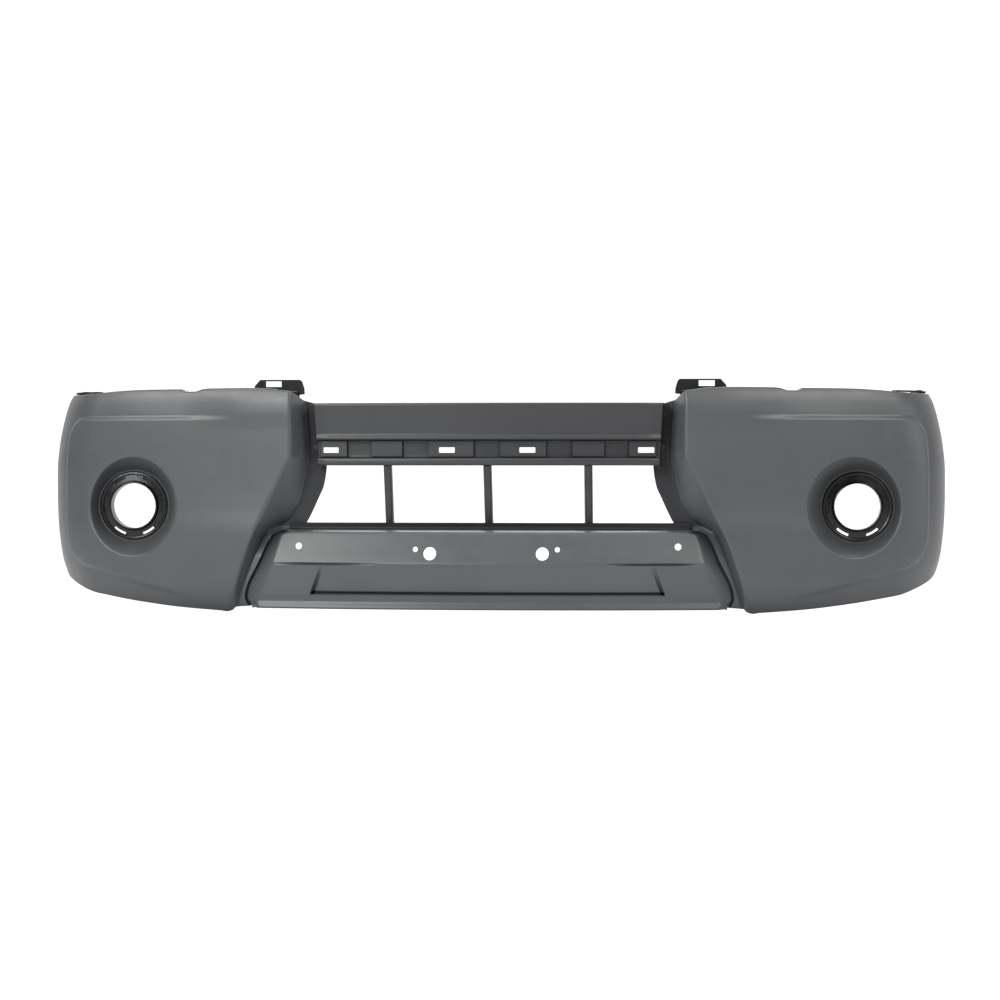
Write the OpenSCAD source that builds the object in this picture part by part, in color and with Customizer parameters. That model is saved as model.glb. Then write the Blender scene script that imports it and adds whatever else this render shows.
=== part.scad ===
// Front bumper cover of a mid-size utility vehicle: two wings with fog lamp bowls, a recessed upper
// beam with grille slots, a lower apron with a number plate tray, grille struts and its clips.
// Millimetres. +X is the vehicle's left, the front faces -Y, +Z is up, z = 0 is the lowest hem.
// A depth is measured rearward from the foremost point and becomes y = depth - depth_mid.

/* [Overall] */
// Width over both wings
overall_w = 1800; // [1780:5:1820]
// Plan radius of the whole front
sweep_r = 2600; // [2500:50:2800]
// Plan radius of the outer corners
corner_r = 150; // [140:5:160]
// Wall of the moulded shells
wall_t = 3; // [2.5:0.25:3.25]
// How far the wing faces stand proud of their border
plateau_h = 4; // [2:0.5:5]

/* [Fog lamps] */
// Distance of each lamp from the centre line
fog_x = 718; // [712:1:722]
// Height of each lamp
fog_z = 205; // [200:1:210]
// Radius of the bore that takes the lamp
fog_bore_r = 45; // [43:0.5:46]
// Depth of the flat seat at the bottom of each bowl
seat_d = 150; // [146:1:154]

/* [Grille] */
// Distance of the outer struts from the centre line
strut_x = 195; // [185:1:205]
// Width of a strut
strut_w = 16.5; // [14:0.5:18]
// Length and height of a grille clip slot
slot_size = [31, 10.5];
// Middles of the slots in the upper beam, one side
slot_x = [78, 306.5];
// Height of the slots
slot_z = 315.5; // [314:0.5:317]

/* [Number plate tray] */
// Depth of the tray step
tray_t = 7; // [4:0.5:8]
// Outer plate holes: distance from the centre line and radius
hole_outer = [368, 6.5];
// Small inner holes: distance from the centre line and radius
hole_small = [137, 5];
// Large inner holes: distance from the centre line and radius
hole_large = [108.5, 12.5];

/* [Fasteners] */
// Pin radius of the push rivets
pin_r = 2.55; // [2.5:0.01:2.56]
// Bore radius of the rivet sleeves
sleeve_bore_r = 2.62; // [2.6:0.01:2.64]

/* [Hidden] */
$fn = 48;
// Half of the cover's whole depth
depth_mid = 248.8;
half_w = overall_w / 2;
corner_x = (half_w - corner_r) / (1 - corner_r / sweep_r);
corner_a = asin(corner_x / sweep_r);
corner_cx = half_w - corner_r;
corner_cd = sweep(corner_x) + corner_r * cos(corner_a);
side_q = corner_x + corner_r * (90 - corner_a) * PI / 180;
arch = [760, 90, 430];
screw_r = 2.4;
pilot_r = 2.2;
plate_hole_r = 4.1;
tab_x = [375, 450];
tab_d = 80;
bracket_rivets = [[395, 411], [434, 411]];
retainer_rivet_q = [1010, 1095];
ring_screw_r = 89;
ring_screw_a = [90, 210, 330];
boss_h = [24, 24, 26.5];
ear_h = [3.35, 7.1];
beam_screws = [[337, 322], [338, 384]];
apron_screws = [[451, 40], [425, 104], [401, 142]];

// ---- small maths ----
function clamp01(v) = max(0, min(1, v));
function ramp(v, a, b) = clamp01((v - a) / (b - a));
function ease(v) = let (c = clamp01(v)) c * c * (3 - 2 * c);
function mix(a, b, f) = a + (b - a) * f;
function unit(v) = v / norm(v);
function sweep(x) = sweep_r - sqrt(sweep_r * sweep_r - x * x);
// Smooth monotone curve through a table of [x, value] pairs
function secant(t, i) = (t[i + 1][1] - t[i][1]) / (t[i + 1][0] - t[i][0]);
function tangent(t, i) =
    i == 0 ? secant(t, 0) :
    i == len(t) - 1 ? secant(t, i - 1) :
    let (a = secant(t, i - 1), b = secant(t, i))
    a * b <= 0 ? 0 : 2 * a * b / (a + b);
function hermite(s, v0, v1, m0, m1) =
    v0 * (1 + 2 * s) * (1 - s) * (1 - s) + v1 * s * s * (3 - 2 * s)
    + m0 * s * (1 - s) * (1 - s) - m1 * s * s * (1 - s);
function curve(x, t) =
    x <= t[0][0] ? t[0][1] :
    x >= t[len(t) - 1][0] ? t[len(t) - 1][1] :
    let (
        i = max([for (k = [0 : len(t) - 2]) if (x >= t[k][0]) k]),
        h = t[i + 1][0] - t[i][0]
    )
    hermite((x - t[i][0]) / h, t[i][1], t[i + 1][1], tangent(t, i) * h, tangent(t, i + 1) * h);
// Three points that round the corner at b by r, coming from a and going to c
function rounded(a, b, c, r) =
    let (p = b + r * unit(a - b), s = b + r * unit(c - b))
    [p, (p + 2 * b + s) / 4, s];
function place(x, d, z) = [x, d - depth_mid, z];

// ---- plan of the front: q is x across the front and arc length round the corner ----
function plan(q) =
    q <= corner_x ? [q, sweep(q), asin(q / sweep_r)] :
    q <= side_q ?
        let (a = corner_a + (q - corner_x) / corner_r * 180 / PI)
        [corner_cx + corner_r * sin(a), corner_cd - corner_r * cos(a), a] :
    [half_w, corner_cd + q - side_q, 90];
function plan_normal(q) = let (a = plan(q)[2]) [-sin(a), cos(a)];
function q_of_x(x) =
    x <= corner_x ? x : corner_x + corner_r * (asin((x - corner_cx) / corner_r) - corner_a) * PI / 180;

// ---- wing skin ----
front_inset = [[0, 12], [12, 5], [30, 0], [70, -5], [150, -5], [205, -1], [260, 1], [330, 2],
    [379, 4], [405, 10], [425, 17], [437, 24]];
side_inset = [[0, 34], [40, 28], [67, 20], [96, 11], [126, 6], [175, 1.5], [224, 0], [273, 0],
    [322, 4], [371, 13], [410, 24], [430, 34]];
plateau_top = 379;
plateau_side = 866;
plateau_low = [641, 42, 0.26];
shoulder_w = 9;
// Distance inside two edges whose shared corner is rounded by r
function inside(a, b, r) =
    a < r && b < r ? r - norm([r - a, r - b]) : min(a, b);
function plateau_depth_in(q, z) =
    let (low = (z - plateau_low[1] - plateau_low[2] * (q - plateau_low[0])) * 0.968)
    inside(inside(plateau_top - z, plateau_side - q, 42), low, 46);
function plateau(q, z) =
    let (
        fade = z > 230 ? ease(ramp(q, 430, 560)) : ease(ramp(q, 560, 700)),
        step = 1 - ease(0.5 + plateau_depth_in(q, z) / shoulder_w)
    )
    plateau_h * (1 - step * fade);
function skin(q, z) =
    let (
        p = plan(q),
        n = plan_normal(q),
        inset = mix(curve(z, front_inset), curve(z, side_inset), ease(ramp(q, 700, 900)))
    )
    [p[0], p[1]] + n * (inset - plateau(q, z));

// ---- wing outline ----
function crease_x(z) = let (t = max(0, 300 - z)) 381 + 0.577 * t - 0.00055 * t * t;
foot_x = [[0, 489], [28, 483], [106, 458], [150, 439], [165, 420], [180, 398], [198, 384],
    [219, 372], [249, 364], [284, 357], [300, 353], [420, 360]];
floor_end_x = [[0, 452], [28, 443], [106, 410], [150, 378], [175, 359], [198, 347], [219, 337.5],
    [249, 325], [287, 320], [296, 322], [304, 329], [330, 329], [342, 325], [420, 322]];
floor_depth = [[0, 67], [30, 61], [106, 68], [150, 86], [180, 92], [220, 93], [290, 92], [330, 86],
    [420, 84]];
hem_z = [[500, 0], [620, 8], [684, 15], [762, 26], [810, 33], [848, 41], [890, 50], [985, 75],
    [1048, 95]];
top_z = [[388, 432], [440, 436], [480, 437], [540, 437], [566, 436.5], [578, 431], [602, 431],
    [614, 436], [700, 435.5], [760, 433], [800, 430], [850, 428]];
function arch_q(z) = side_q + arch[0] - sqrt(pow(arch[2], 2) - pow(z - arch[1], 2)) - corner_cd;

// Grid of the wing: columns run from the floor behind the beam, over the crease, across the face
// and round the corner to the wheel arch; rows run from the hem flange to the top flange.
block = 114;
mid_col = 21;
mid_row = 15;
ring_of_hole = 4;
block_i = [mid_col - 9, mid_col + 9];
block_j = [mid_row - 9, mid_row + 9];
cols = 44;
rows = 35;
edge_rows = [2, 32];
inner_hem = [11, 11, 11, 10, 9, 6, 3, 1, 0];
inner_top = [404, 405, 410, 412, 414, 422, 428, 430, 431];
face_steps = [0.15, 0.42, 0.7];
ridge_q = [845, 856, 867, 880, 905, 931, 958, 985];
function col_q(i, z) =
    i < block_i[0] ? mix(crease_x(z) + 7, fog_x - block, face_steps[i - 9]) :
    i <= block_i[1] ? q_of_x(fog_x + (i - mid_col) * block / 9) :
    i < 39 ? ridge_q[i - 31] :
    mix(side_q, arch_q(z), min(1, (i - 38) / 3));
function col_hem(i) = i < 9 ? inner_hem[i] : curve(col_q(i, i < 12 ? 0 : 95), hem_z);
function col_top(i) = i < 9 ? inner_top[i] : curve(col_q(i, 430), top_z);
function row_z(i, j) =
    let (
        low = col_hem(i),
        high = col_top(i),
        base = fog_z - block + 50 * ramp(i, 30, 41),
        crown = fog_z + block
    )
    j <= edge_rows[0] ? low :
    j == 3 ? low + 7 :
    j < block_j[0] ? mix(low + 7, base, (j - 3) / 3) :
    j <= block_j[1] ? mix(base, crown, (j - block_j[0]) / 18) :
    j >= edge_rows[1] ? high :
    mix(crown, high - 7, [20, 42, 50, 58, 66, 85, 109][j - 25] / 109);
function wall_path(i, z) =
    let (
        depth = curve(z, floor_depth),
        f = [curve(z, floor_end_x), depth],
        w = [curve(z, foot_x), depth],
        c = skin(crease_x(z), z),
        g = skin(crease_x(z) + 30, z),
        span = norm(c - w),
        foot = rounded(f, w, c, min(8, span * 0.4)),
        crest = rounded(w, c, g, min(7, span * 0.4))
    )
    i == 0 ? f :
    i == 1 ? (f + foot[0]) / 2 :
    i <= 4 ? foot[i - 2] :
    i == 5 ? (foot[2] + crest[0]) / 2 :
    crest[i - 6];
// Fog lamp bowl: square rings of the grid become the seat, the wall and the rounded rim
rim = [fog_x - 12, fog_z, 90, 95];
function ring_angle(di, dj) =
    di == 0 && dj == 0 ? 0 :
    abs(di) >= abs(dj) ?
        (di > 0 ? 45 * dj / di : 180 + 45 * dj / di) :
        (dj > 0 ? 90 - 45 * di / dj : 270 - 45 * di / dj);
function bowl_point(i, j) =
    let (
        di = i - mid_col,
        dj = j - mid_row,
        ring = max(abs(di), abs(dj)),
        a = ring_angle(di, dj),
        seat = [fog_x, fog_z] + (ring < 5 ? 69 * ring / ring_of_hole : 72) * [cos(a), sin(a)],
        grow = ring == 8 ? 7 : ring == 7 ? 1.6 : -1,
        edge = [rim[0] + (rim[2] + grow) * cos(a), rim[1] + (rim[3] + grow) * sin(a)],
        face = skin(q_of_x(edge[0]), edge[1])
    )
    ring < 6 ? [seat[0], seat_d, seat[1]] :
    ring == 6 ? [edge[0], face[1] + 8, edge[1]] :
    ring == 7 ? [edge[0], face[1] + 2, edge[1]] :
    [edge[0], face[1], edge[1]];
// Flange that turns in from an edge: its direction in plan
function flange_dir(i) =
    i < 2 ? [0, 1] :
    i < 5 ? unit([1, 1]) :
    i < 6 ? [1, 0] :
    i < 9 ? unit([1, 1.2]) :
    plan_normal(col_q(min(i, 41), 200));
function flange_len(i, full) = i < 8 ? 3 : mix(3, full, ramp(i, 8, 10));
function plan_point(i, z) = i < 9 ? wall_path(i, z) : skin(col_q(min(i, 41), z), z);
arch_flange = 16;
function arch_turn(i, j) =
    let (w = j <= 2 || j >= 32 ? 0 : j == 3 || j == 31 ? 0.4 : 1, s = max(0, i - 41) / 2)
    s * (w * arch_flange * [-1, 0] + (1 - w) * [0, 3]);
function wing_point(i, j) =
    i >= block_i[0] && i <= block_i[1] && j >= block_j[0] && j <= block_j[1]
        && max(abs(i - mid_col), abs(j - mid_row)) < 9 ?
        let (b = bowl_point(i, j)) place(b[0], b[1], b[2]) :
    let (
        z = row_z(i, j),
        full = j < 2 ? 16 : i > 38 ? 26 : 18,
        turn = j < 2 ? (2 - j) / 2 : j > 32 ? (j - 32) / 2 : 0,
        p = plan_point(i, z) + turn * flange_len(i, full) * flange_dir(i) + arch_turn(i, j)
    )
    place(p[0], p[1], z);

// ---- shell made from a grid of surface points, thickened rearward, with an optional square hole ----
function grid_normal(g, i, j) =
    let (
        m = len(g) - 1,
        n = len(g[0]) - 1,
        u = g[min(m, i + 1)][j] - g[max(0, i - 1)][j],
        v = g[i][min(n, j + 1)] - g[i][max(0, j - 1)]
    )
    -unit(cross(u, v));
function has_cell(i, j, m, n, hole) =
    i >= 0 && j >= 0 && i < m && j < n
    && !(i >= hole[0] && i < hole[1] && j >= hole[2] && j < hole[3]);
function cell_faces(i, j, m, n, hole) =
    let (
        s = n + 1,
        a = i * s + j,
        b = a + s,
        c = b + 1,
        d = a + 1,
        k = (m + 1) * s
    )
    concat(
        [[a, d, c], [a, c, b], [a + k, c + k, d + k], [a + k, b + k, c + k]],
        has_cell(i, j - 1, m, n, hole) ? [] : [[a, b, b + k], [a, b + k, a + k]],
        has_cell(i - 1, j, m, n, hole) ? [] : [[d, a, a + k], [d, a + k, d + k]],
        has_cell(i + 1, j, m, n, hole) ? [] : [[b, c, c + k], [b, c + k, b + k]],
        has_cell(i, j + 1, m, n, hole) ? [] : [[c, d, d + k], [c, d + k, c + k]]
    );
module shell(g, hole = [0, 0, 0, 0]) {
    m = len(g) - 1;
    n = len(g[0]) - 1;
    outer = [for (i = [0 : m]) for (j = [0 : n]) g[i][j]];
    inner = [for (i = [0 : m]) for (j = [0 : n]) g[i][j] + wall_t * grid_normal(g, i, j)];
    faces = [for (i = [0 : m - 1]) for (j = [0 : n - 1]) if (has_cell(i, j, m, n, hole))
        each cell_faces(i, j, m, n, hole)];
    polyhedron(concat(outer, inner), faces, convexity = 10);
}

// Turn local +Z rearward, with the origin at a point given by x, depth and z
module rearward(x, d, z) {
    translate(place(x, d, z)) rotate([-90, 0, 0]) children();
}
module box_between(x, d, z) {
    translate(place(x[0], d[0], z[0])) cube([x[1] - x[0], d[1] - d[0], z[1] - z[0]]);
}
// Where a flat end of radius r just clears the sloping channel floor, in front of it and behind it
function around(z, r) = [for (t = [-r : r / 2 : r]) curve(z + t, floor_depth)];
function seam_front(z) = min(around(z, 6)) - 0.25;
function seam_back(z) = max(around(z, 6.5)) + 1.12 * wall_t;
// Middle of the top flange over the wing's side, in plan
function retainer_at(q) = skin(q, 428) + 15 * plan_normal(q);

// ---- sub-parts ----
module wing() {
    g = [for (i = [0 : cols - 1]) [for (j = [0 : rows - 1]) wing_point(i, j)]];
    ends = [mid_col - ring_of_hole, mid_col + ring_of_hole, mid_row - ring_of_hole, mid_row + ring_of_hole];
    difference() {
        union() {
            shell(g, ends);
            box_between(tab_x, [60, tab_d + 3], [428, 434]);
            box_between(tab_x, [tab_d, tab_d + 3], [396, 429]);
            for (k = [0 : 2])
                ring_boss(ring_screw_a[k], boss_h[k]);
        }
        for (p = bracket_rivets)
            rearward(p[0], tab_d - 2, p[1]) cylinder(r = plate_hole_r, h = 8);
        for (a = ring_screw_a)
            rearward(fog_x + ring_screw_r * cos(a), seat_d - 12, fog_z + ring_screw_r * sin(a))
                cylinder(r = pilot_r, h = 20);
        for (q = retainer_rivet_q)
            translate(place(retainer_at(q)[0], retainer_at(q)[1], 420)) cylinder(r = plate_hole_r, h = 12);
        for (s = concat(beam_screws, apron_screws))
            rearward(s[0], seam_front(s[1]) - 2, s[1]) cylinder(r = screw_r + 0.3, h = 14);
    }
}
module ring_boss(a, h) {
    rearward(fog_x + ring_screw_r * cos(a), seat_d - h, fog_z + ring_screw_r * sin(a))
        cylinder(r = 5.5, h = h + wall_t + 0.3);
}

// Upper beam: its section from the rear edge of the lower lip up to the top return
beam_rows = [[76, 286.5], [50, 285.5], [33, 285.5], [29.5, 288], [29, 293], [29.5, 298], [32, 300.5],
    [42, 301], [44, 303], [44.3, 312], [44.3, 326], [44, 332], [42, 334], [32, 334.5], [28, 336],
    [26.5, 339], [28.5, 342.5], [30.5, 346], [28.5, 365], [26, 390], [24.5, 403], [26, 406], [29, 407],
    [40, 407], [54, 406.5]];
beam_cols = 11;
function beam_end(z) = mix(334, 340.6, ramp(z, 286, 407));
function beam_x(i, z) =
    let (e = beam_end(z), a = mix(317, 313, ramp(z, 286, 407)))
    i < 5 ? 75 * i :
    i == 5 ? a - 2 :
    i == 6 ? a + 4 :
    i == 7 ? mix(a, e, 0.6) :
    i == 8 ? e - 3 :
    i == 9 ? e - 0.6 :
    e;
function beam_point(i, j) =
    let (
        k = i - (beam_cols - 1),
        m = abs(k),
        z = beam_rows[j][1],
        x = beam_x(m, z),
        own = beam_rows[j][0] - (j == 0 ? 22 * ramp(x, 240, 300) : 0),
        room = 0.4 * (60 - own),
        back = min(12, room) * ramp(x, beam_x(5, z), beam_end(z)) + min(16, room) * ramp(m, 8, 10)
    )
    place(sign(k) * x, own + back + sweep(x), z);
pad_x = [[26, 114], [165, 226], [274, 326]];
module beam_pad(span) {
    mid = (span[0] + span[1]) / 2;
    translate(place(mid, sweep(mid) + 38.5, 0)) rotate([0, 0, asin(mid / sweep_r)])
        translate([(span[0] - span[1]) / 2, 0, 302]) cube([span[1] - span[0], 7.5, 32]);
}
module upper_beam() {
    g = [for (i = [0 : 2 * (beam_cols - 1)]) [for (j = [0 : len(beam_rows) - 1]) beam_point(i, j)]];
    difference() {
        union() {
            shell(g);
            for (side = [0, 1])
                mirror([side, 0, 0]) {
                    for (span = pad_x)
                        beam_pad(span);
                    for (s = beam_screws)
                        rearward(s[0], 68, s[1]) cylinder(r = 6, h = seam_front(s[1]) - 68);
                }
        }
        for (side = [0, 1])
            mirror([side, 0, 0]) {
                for (x = slot_x)
                    box_between([x - slot_size[0] / 2, x + slot_size[0] / 2], [30, 90],
                        [slot_z - slot_size[1] / 2, slot_z + slot_size[1] / 2]);
                for (s = beam_screws)
                    rearward(s[0], seam_front(s[1]) - 14, s[1]) cylinder(r = pilot_r, h = 20);
            }
    }
}

// Lower apron: its section from the hem up over the tray, the crease and the plate band to the ledge
apron_rows = [[18, 11], [5, 8.5], [1.5, 8], [0.5, 11], [4.5, 20], [5.5, 23], [5, 33], [4.5, 35.5],
    [4.5, 37.5], [4.3, 42], [4, 55], [3.8, 75], [3.5, 91], [3, 94.5], [3, 96.5], [4, 99.5], [9, 110],
    [17, 125], [25, 141], [31, 152.5], [34, 156.5], [38, 158], [68, 160], [78, 161], [81, 163.5],
    [82, 167], [82.5, 173.5]];
tray_rows = [[8, 1], [9, 0.93], [10, 0.72], [11, 0.4], [12, 0.12]];
function tray_end(z) = mix(342, 321, ramp(z, 37, 95));
facet_in = [[8, 446], [20, 449.5], [47, 438], [77, 426], [103, 415], [150, 404], [158, 385]];
facet_out = [[8, 461], [28, 471], [106, 441], [150, 420], [158, 398]];
apron_cols = 14;
lip_row = 3;
ledge_row = 21;
function apron_x(i, z, j) =
    let (
        top = ramp(j, ledge_row, 24),
        t = tray_end(z),
        a = mix(curve(z, facet_in), 382, top),
        e = mix(curve(z, facet_out), 392, top)
    )
    i < 4 ? [0, 90, 180, 250][i] :
    i == 4 ? mix(300, 290, top) :
    i == 5 ? t - 1.5 :
    i == 6 ? t + 2 :
    i < 10 ? mix(t + 2, a, (i - 6) / 4) :
    i == 10 ? a :
    i == 11 ? mix(a, e, 0.5) :
    e;
function apron_point(i, j) =
    let (
        k = i - (apron_cols - 1),
        m = abs(k),
        f = ramp(m, 10, 12),
        row = max(j, lip_row),
        z = apron_rows[row][1],
        x = apron_x(m, z, row),
        tray = m <= 5 ? tray_t * lookup(row, concat([[7, 0]], tray_rows, [[13, 0]])) : 0,
        lens = row == 13 || row == 14 ? 5 * ease(ramp(x, 190, 300)) * ease(ramp(x, 425, 360)) : 0,
        own = apron_rows[row][0] + (j > ledge_row ? 0 : tray + lens + sweep(x)),
        seat = j > ledge_row ? own : max(own, curve(z, floor_depth) - 5),
        roll = apron_rows[j] - apron_rows[row],
        tuck = roll[0] * (1 - f),
        drop = mix(roll[1], -1.2 * (row - j), f)
    )
    place(sign(k) * x, mix(own, seat, f) + tuck + (m == 13 ? 3.5 : 0), z + drop);
module apron_hole(hole, z) {
    rearward(hole[0], -5, z) cylinder(r = hole[1], h = 60);
}
module lower_apron() {
    g = [for (i = [0 : 2 * (apron_cols - 1)]) [for (j = [0 : len(apron_rows) - 1]) apron_point(i, j)]];
    difference() {
        union() {
            shell(g);
            for (side = [0, 1])
                mirror([side, 0, 0])
                    for (s = apron_screws)
                        apron_boss(s);
        }
        for (side = [0, 1])
            mirror([side, 0, 0]) {
                apron_hole(hole_outer, 129);
                apron_hole(hole_small, 124);
                apron_hole(hole_large, 116);
                for (s = apron_screws)
                    rearward(s[0], seam_front(s[1]) - 7, s[1]) cylinder(r = pilot_r, h = 12);
            }
    }
}
function apron_depth(z) = lookup(z, [for (k = [10 : ledge_row]) [apron_rows[k][1], apron_rows[k][0]]]);
function apron_front(x, z) =
    let (own = apron_depth(z) + sweep(x), seat = max(own, curve(z, floor_depth) - 5))
    mix(own, seat, ramp(x, curve(z, facet_in), curve(z, facet_out)));
module apron_boss(s) {
    r = 5.5;
    front = 0.6 + max([for (a = [0 : 30 : 330]) apron_front(s[0] + r * cos(a), s[1] + r * sin(a))]);
    rearward(s[0], front, s[1]) cylinder(r = r, h = seam_front(s[1]) - front);
}

// Grille strut: a slim rounded bar that leans back from the beam's lip to the rear of the apron's ledge
strut_foot = [101, 155];
strut_top = [53, 287.5];
module strut(x) {
    rise = strut_top[1] - strut_foot[1];
    run = strut_foot[0] - strut_top[0] - sweep(x);
    translate(place(x, strut_foot[0], strut_foot[1])) rotate([atan(run / rise), 0, 0])
        linear_extrude(norm([rise, run])) {
            square([strut_w, 6], center = true);
            for (s = [-1, 1])
                translate([0, 3 * s]) circle(r = strut_w / 2);
        }
}

// Fog lamp ring: bore, windowed plate, rim and the flange behind the bowl's seat
ring_profile = [[0, -6], [1.2, -7], [2.8, -6.4], [3.6, -2], [5, 0.6], [16.4, 2.2], [17.6, -0.8], [19.5, -1.6],
    [21.8, -1.2], [23, 1], [23, 3.6], [37, 3.6], [37, 6.6], [5, 6.6], [3.5, 20], [0, 20]];
// Windows of the ring as (angle, depth): the two low ones are open, the other four are pockets
ring_windows = [[60, 8], [120, 8], [0, 4], [180, 4], [240, 4], [300, 4]];
module fog_ring() {
    rearward(fog_x, seat_d, fog_z) difference() {
        union() {
            rotate(45) rotate_extrude($fn = 96) polygon([for (p = ring_profile) [fog_bore_r + p[0], p[1]]]);
            for (a = ring_screw_a)
                rotate(-a) translate([ring_screw_r - 3, 0, ear_h[0]]) cylinder(r = 10, h = ear_h[1] - ear_h[0]);
        }
        for (w = ring_windows)
            rotate(w[0] - 12.5) rotate_extrude(angle = 25) translate([56, -2]) square([4.4, 2 + w[1]]);
        for (a = ring_screw_a)
            rotate(-a) translate([ring_screw_r, 0, 0]) cylinder(r = screw_r + 0.3, h = 10);
    }
}

// Screw with a washer head; the head's underside is at z = 0 and the shank points to -Z
module screw(len_mm) {
    difference() {
        union() {
            cylinder(r = 6.5, h = 1);
            cylinder(r = 4.5, h = 3.6);
            translate([0, 0, -len_mm]) cylinder(r = screw_r, h = len_mm + 0.5);
        }
        translate([0, 0, 1.6]) cylinder(r = 2.6, h = 3, $fn = 6);
    }
}
module ring_screws() {
    for (a = ring_screw_a)
        rearward(fog_x + ring_screw_r * cos(a), seat_d + ear_h[1] + 0.05, fog_z + ring_screw_r * sin(a)) screw(14);
}
module seam_screws() {
    for (s = beam_screws)
        rearward(s[0], seam_back(s[1]), s[1]) screw(11);
    for (s = apron_screws)
        rearward(s[0], seam_back(s[1]), s[1]) screw(12);
}

// Upper bracket: the slotted plate behind the wing's inner top corner
bracket_outline = [[372, 400], [372, 424], [362, 425], [362.5, 436], [367, 450], [371, 453.5], [450, 453.5],
    [461, 441], [461, 430], [455, 400]];
module upper_bracket() {
    difference() {
        translate(place(0, tab_d + 6.3, 0)) rotate([90, 0, 0]) linear_extrude(wall_t) polygon(bracket_outline);
        box_between([423 - 15.5, 423 + 15.5], [tab_d, tab_d + 9], [439.5, 450.5]);
        for (p = bracket_rivets)
            rearward(p[0], tab_d, p[1]) cylinder(r = plate_hole_r, h = 10);
    }
}

// Push rivet sleeve: head at z = 0 to 2, split-free shank to -Z; its pin slides in the bore
module sleeve() {
    difference() {
        union() {
            cylinder(r = 9, h = 2);
            translate([0, 0, -10]) cylinder(r = 3.95, h = 10.5);
        }
        translate([0, 0, -11]) cylinder(r = sleeve_bore_r, h = 14);
    }
}
module pin() {
    translate([0, 0, 2.05]) cylinder(r = 6, h = 1.8);
    translate([0, 0, -9]) cylinder(r = pin_r, h = 11.5);
}
module bracket_rivet(k) {
    rearward(bracket_rivets[k][0], tab_d + 6.35, bracket_rivets[k][1]) children();
}
strip_z = 430.3;
module retainer_rivet(k) {
    p = retainer_at(retainer_rivet_q[k]);
    translate(place(p[0], p[1], strip_z + 2.75)) children();
}

// Side retainer: a strip that follows the top flange round the corner to the wheel arch
strip_q = [805, 1150];
strip_in = [5, 24];
module side_retainer() {
    near = [for (q = [strip_q[0] : 15 : strip_q[1]]) skin(q, 428) + strip_in[0] * plan_normal(q)];
    far = [for (q = [strip_q[1] : -15 : strip_q[0]]) skin(q, 428) + strip_in[1] * plan_normal(q)];
    difference() {
        union() {
            translate(place(0, 0, strip_z)) linear_extrude(2.7) polygon(concat(near, far));
            for (q = retainer_rivet_q)
                translate(place(retainer_at(q)[0], retainer_at(q)[1], 428.05)) cylinder(r = 8, h = 3);
        }
        for (q = retainer_rivet_q)
            translate(place(retainer_at(q)[0], retainer_at(q)[1], 420)) cylinder(r = plate_hole_r, h = 20);
    }
}

module bracket_sleeves() {
    for (k = [0, 1])
        bracket_rivet(k) sleeve();
}
module retainer_sleeves() {
    for (k = [0, 1])
        retainer_rivet(k) sleeve();
}

module right_side() {
    mirror([1, 0, 0]) children();
}

color([0.29, 0.3, 0.31]) wing();  // wing_left
color([0.29, 0.3, 0.31]) right_side() wing();  // wing_right
color([0.27, 0.27, 0.29]) upper_beam();
color([0.33, 0.34, 0.35]) lower_apron();
color([0.1, 0.1, 0.1]) strut(strut_x);  // strut_left
color([0.1, 0.1, 0.1]) strut(0);  // strut_centre
color([0.1, 0.1, 0.1]) strut(-strut_x);  // strut_right
color([0.08, 0.08, 0.09]) fog_ring();  // fog_ring_left
color([0.08, 0.08, 0.09]) right_side() fog_ring();  // fog_ring_right
color([0.5, 0.5, 0.52]) ring_screws();  // ring_screws_left
color([0.5, 0.5, 0.52]) right_side() ring_screws();  // ring_screws_right
color([0.5, 0.5, 0.52]) seam_screws();  // seam_screws_left
color([0.5, 0.5, 0.52]) right_side() seam_screws();  // seam_screws_right
color([0.07, 0.07, 0.07]) upper_bracket();  // bracket_left
color([0.07, 0.07, 0.07]) right_side() upper_bracket();  // bracket_right
color([0.07, 0.07, 0.07]) side_retainer();  // side_retainer_left
color([0.07, 0.07, 0.07]) right_side() side_retainer();  // side_retainer_right
color([0.1, 0.1, 0.1]) bracket_sleeves();  // bracket_sleeves_left
color([0.1, 0.1, 0.1]) right_side() bracket_sleeves();  // bracket_sleeves_right
color([0.15, 0.15, 0.15]) bracket_rivet(0) pin();  // bracket_pin_left_inner
color([0.15, 0.15, 0.15]) bracket_rivet(1) pin();  // bracket_pin_left_outer
color([0.15, 0.15, 0.15]) right_side() bracket_rivet(0) pin();  // bracket_pin_right_inner
color([0.15, 0.15, 0.15]) right_side() bracket_rivet(1) pin();  // bracket_pin_right_outer
color([0.1, 0.1, 0.1]) retainer_sleeves();  // retainer_sleeves_left
color([0.1, 0.1, 0.1]) right_side() retainer_sleeves();  // retainer_sleeves_right
color([0.15, 0.15, 0.15]) retainer_rivet(0) pin();  // retainer_pin_left_front
color([0.15, 0.15, 0.15]) retainer_rivet(1) pin();  // retainer_pin_left_rear
color([0.15, 0.15, 0.15]) right_side() retainer_rivet(0) pin();  // retainer_pin_right_front
color([0.15, 0.15, 0.15]) right_side() retainer_rivet(1) pin();  // retainer_pin_right_rear
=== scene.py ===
"""Looks of the front bumper cover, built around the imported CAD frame.

The moulded shells (wings, beam and apron, with their pads, tabs and bosses) are rebuilt as fine smooth
meshes from the CAD's design curves, in millimetres, and turned into metres when a mesh is made. The other
nodes keep the CAD's meshes. Depths run rearward from the foremost point. The vehicle's left is +X, and its
right is the mirror image.
"""
import math

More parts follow.
